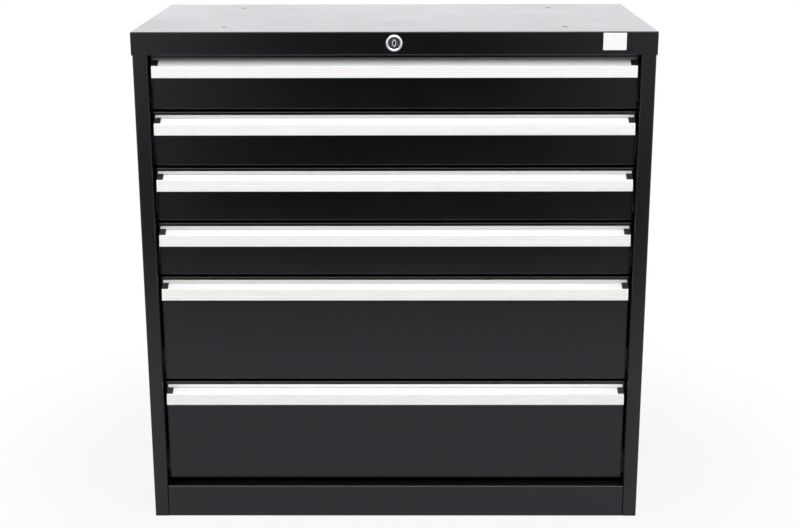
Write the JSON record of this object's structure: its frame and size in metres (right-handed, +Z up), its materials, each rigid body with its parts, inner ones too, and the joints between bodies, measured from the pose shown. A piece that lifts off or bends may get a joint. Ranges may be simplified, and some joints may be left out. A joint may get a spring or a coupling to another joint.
{
  "type": "tool cabinet",
  "caption": "Freestanding black steel tool cabinet: stacked drawers on full-extension slides, full-width aluminium grip rails, and a central lock in the lid's front skirt.",
  "frame": {"origin": "on the floor, in the middle of the width and of the depth (over the lock's ring and the lid's rear skirt)", "axes": "+X to the right seen from the front, +Y from the drawer fronts to the back, +Z up"},
  "size_m": [0.9, 0.46, 0.9],
  "materials": {
    "black_powder_coat": "semi-gloss powder coat with a fine orange peel",
    "zinc_plated_steel": "bright zinc plate on rolled steel",
    "anodised_aluminium": "satin natural anodised extrusion",
    "black_plastic": "moulded matt black plastic",
    "chrome": "polished chrome plate",
    "black_lock_face": "black nickel lock face",
    "natural_nylon": "natural moulded nylon"
  },
  "bodies": {
    "cabinet": {"top_cap": "black_powder_coat", "side_panel_left": "black_powder_coat", "side_panel_right": "black_powder_coat", "back_panel": "black_powder_coat", "base_pan": "black_powder_coat", "plinth_front": "black_powder_coat", "top_rail_front": "black_powder_coat", "upright_left_front": "black_powder_coat", "upright_left_rear": "black_powder_coat", "upright_right_front": "black_powder_coat", "upright_right_rear": "black_powder_coat", "slide_outer_left": "zinc_plated_steel", "slide_outer_right": "zinc_plated_steel", "lock_barrel": "chrome", "lock_nut": "zinc_plated_steel", "lock_bar_guides": "natural_nylon", "lock_link_guides": "natural_nylon"},
    "lock_plug": {"lock_plug": "black_lock_face", "lock_cam": "zinc_plated_steel", "lock_cam_screw": "zinc_plated_steel"},
    "lock_link": {"lock_link": "zinc_plated_steel"},
    "lock_bar": {"lock_bar": "zinc_plated_steel", "lock_bar_pin": "zinc_plated_steel"},
    "drawer_1": {"drawer_1_tray": "black_powder_coat", "drawer_1_front": "black_powder_coat", "drawer_1_handle": "anodised_aluminium", "drawer_1_end_caps": "black_plastic", "drawer_1_slide_inner": "zinc_plated_steel"},
    "drawer_1_mid": {"drawer_1_slide_mid": "zinc_plated_steel"},
    "drawer_2": {"drawer_2_tray": "black_powder_coat", "drawer_2_front": "black_powder_coat", "drawer_2_handle": "anodised_aluminium", "drawer_2_end_caps": "black_plastic", "drawer_2_slide_inner": "zinc_plated_steel"},
    "drawer_2_mid": {"drawer_2_slide_mid": "zinc_plated_steel"},
    "drawer_3": {"drawer_3_tray": "black_powder_coat", "drawer_3_front": "black_powder_coat", "drawer_3_handle": "anodised_aluminium", "drawer_3_end_caps": "black_plastic", "drawer_3_slide_inner": "zinc_plated_steel"},
    "drawer_3_mid": {"drawer_3_slide_mid": "zinc_plated_steel"},
    "drawer_4": {"drawer_4_tray": "black_powder_coat", "drawer_4_front": "black_powder_coat", "drawer_4_handle": "anodised_aluminium", "drawer_4_end_caps": "black_plastic", "drawer_4_slide_inner": "zinc_plated_steel"},
    "drawer_4_mid": {"drawer_4_slide_mid": "zinc_plated_steel"},
    "drawer_5": {"drawer_5_tray": "black_powder_coat", "drawer_5_front": "black_powder_coat", "drawer_5_handle": "anodised_aluminium", "drawer_5_end_caps": "black_plastic", "drawer_5_slide_inner": "zinc_plated_steel"},
    "drawer_5_mid": {"drawer_5_slide_mid": "zinc_plated_steel"},
    "drawer_6": {"drawer_6_tray": "black_powder_coat", "drawer_6_front": "black_powder_coat", "drawer_6_handle": "anodised_aluminium", "drawer_6_end_caps": "black_plastic", "drawer_6_slide_inner": "zinc_plated_steel"},
    "drawer_6_mid": {"drawer_6_slide_mid": "zinc_plated_steel"}
  },
  "joints": [
    {"name": "lock_bar_slide", "type": "slide", "parent": "cabinet", "child": "lock_bar", "axis": [0, 0, 1], "range_m": [0, 0.012]},
    {"name": "lock_link_slide", "type": "slide", "parent": "cabinet", "child": "lock_link", "axis": [-1, 0, 0], "range_m": [0, 0.012]},
    {"name": "lock_plug_turn", "type": "hinge", "parent": "cabinet", "child": "lock_plug", "pos_m": [0, -0.215, 0.8805], "axis": [0, 1, 0], "range_deg": [0, 90]},
    {"name": "drawer_1_slide", "type": "slide", "parent": "cabinet", "child": "drawer_1", "axis": [0, -1, 0], "range_m": [0, 0.4]},
    {"name": "drawer_1_mid_slide", "type": "slide", "parent": "cabinet", "child": "drawer_1_mid", "axis": [0, -1, 0], "range_m": [0, 0.2]},
    {"name": "drawer_2_slide", "type": "slide", "parent": "cabinet", "child": "drawer_2", "axis": [0, -1, 0], "range_m": [0, 0.4]},
    {"name": "drawer_2_mid_slide", "type": "slide", "parent": "cabinet", "child": "drawer_2_mid", "axis": [0, -1, 0], "range_m": [0, 0.2]},
    {"name": "drawer_3_slide", "type": "slide", "parent": "cabinet", "child": "drawer_3", "axis": [0, -1, 0], "range_m": [0, 0.4]},
    {"name": "drawer_3_mid_slide", "type": "slide", "parent": "cabinet", "child": "drawer_3_mid", "axis": [0, -1, 0], "range_m": [0, 0.2]},
    {"name": "drawer_4_slide", "type": "slide", "parent": "cabinet", "child": "drawer_4", "axis": [0, -1, 0], "range_m": [0, 0.4]},
    {"name": "drawer_4_mid_slide", "type": "slide", "parent": "cabinet", "child": "drawer_4_mid", "axis": [0, -1, 0], "range_m": [0, 0.2]},
    {"name": "drawer_5_slide", "type": "slide", "parent": "cabinet", "child": "drawer_5", "axis": [0, -1, 0], "range_m": [0, 0.4]},
    {"name": "drawer_5_mid_slide", "type": "slide", "parent": "cabinet", "child": "drawer_5_mid", "axis": [0, -1, 0], "range_m": [0, 0.2]},
    {"name": "drawer_6_slide", "type": "slide", "parent": "cabinet", "child": "drawer_6", "axis": [0, -1, 0], "range_m": [0, 0.4]},
    {"name": "drawer_6_mid_slide", "type": "slide", "parent": "cabinet", "child": "drawer_6_mid", "axis": [0, -1, 0], "range_m": [0, 0.2]}
  ],
  "couplings": [
    {"joint": "lock_link_slide", "follows": "lock_bar_slide", "ratio": 1},
    {"joint": "lock_plug_turn", "follows": "lock_bar_slide", "rad_per_m": 130.9},
    {"joint": "drawer_1_mid_slide", "follows": "drawer_1_slide", "ratio": 0.5},
    {"joint": "drawer_2_mid_slide", "follows": "drawer_2_slide", "ratio": 0.5},
    {"joint": "drawer_3_mid_slide", "follows": "drawer_3_slide", "ratio": 0.5},
    {"joint": "drawer_4_mid_slide", "follows": "drawer_4_slide", "ratio": 0.5},
    {"joint": "drawer_5_mid_slide", "follows": "drawer_5_slide", "ratio": 0.5},
    {"joint": "drawer_6_mid_slide", "follows": "drawer_6_slide", "ratio": 0.5}
  ]
}
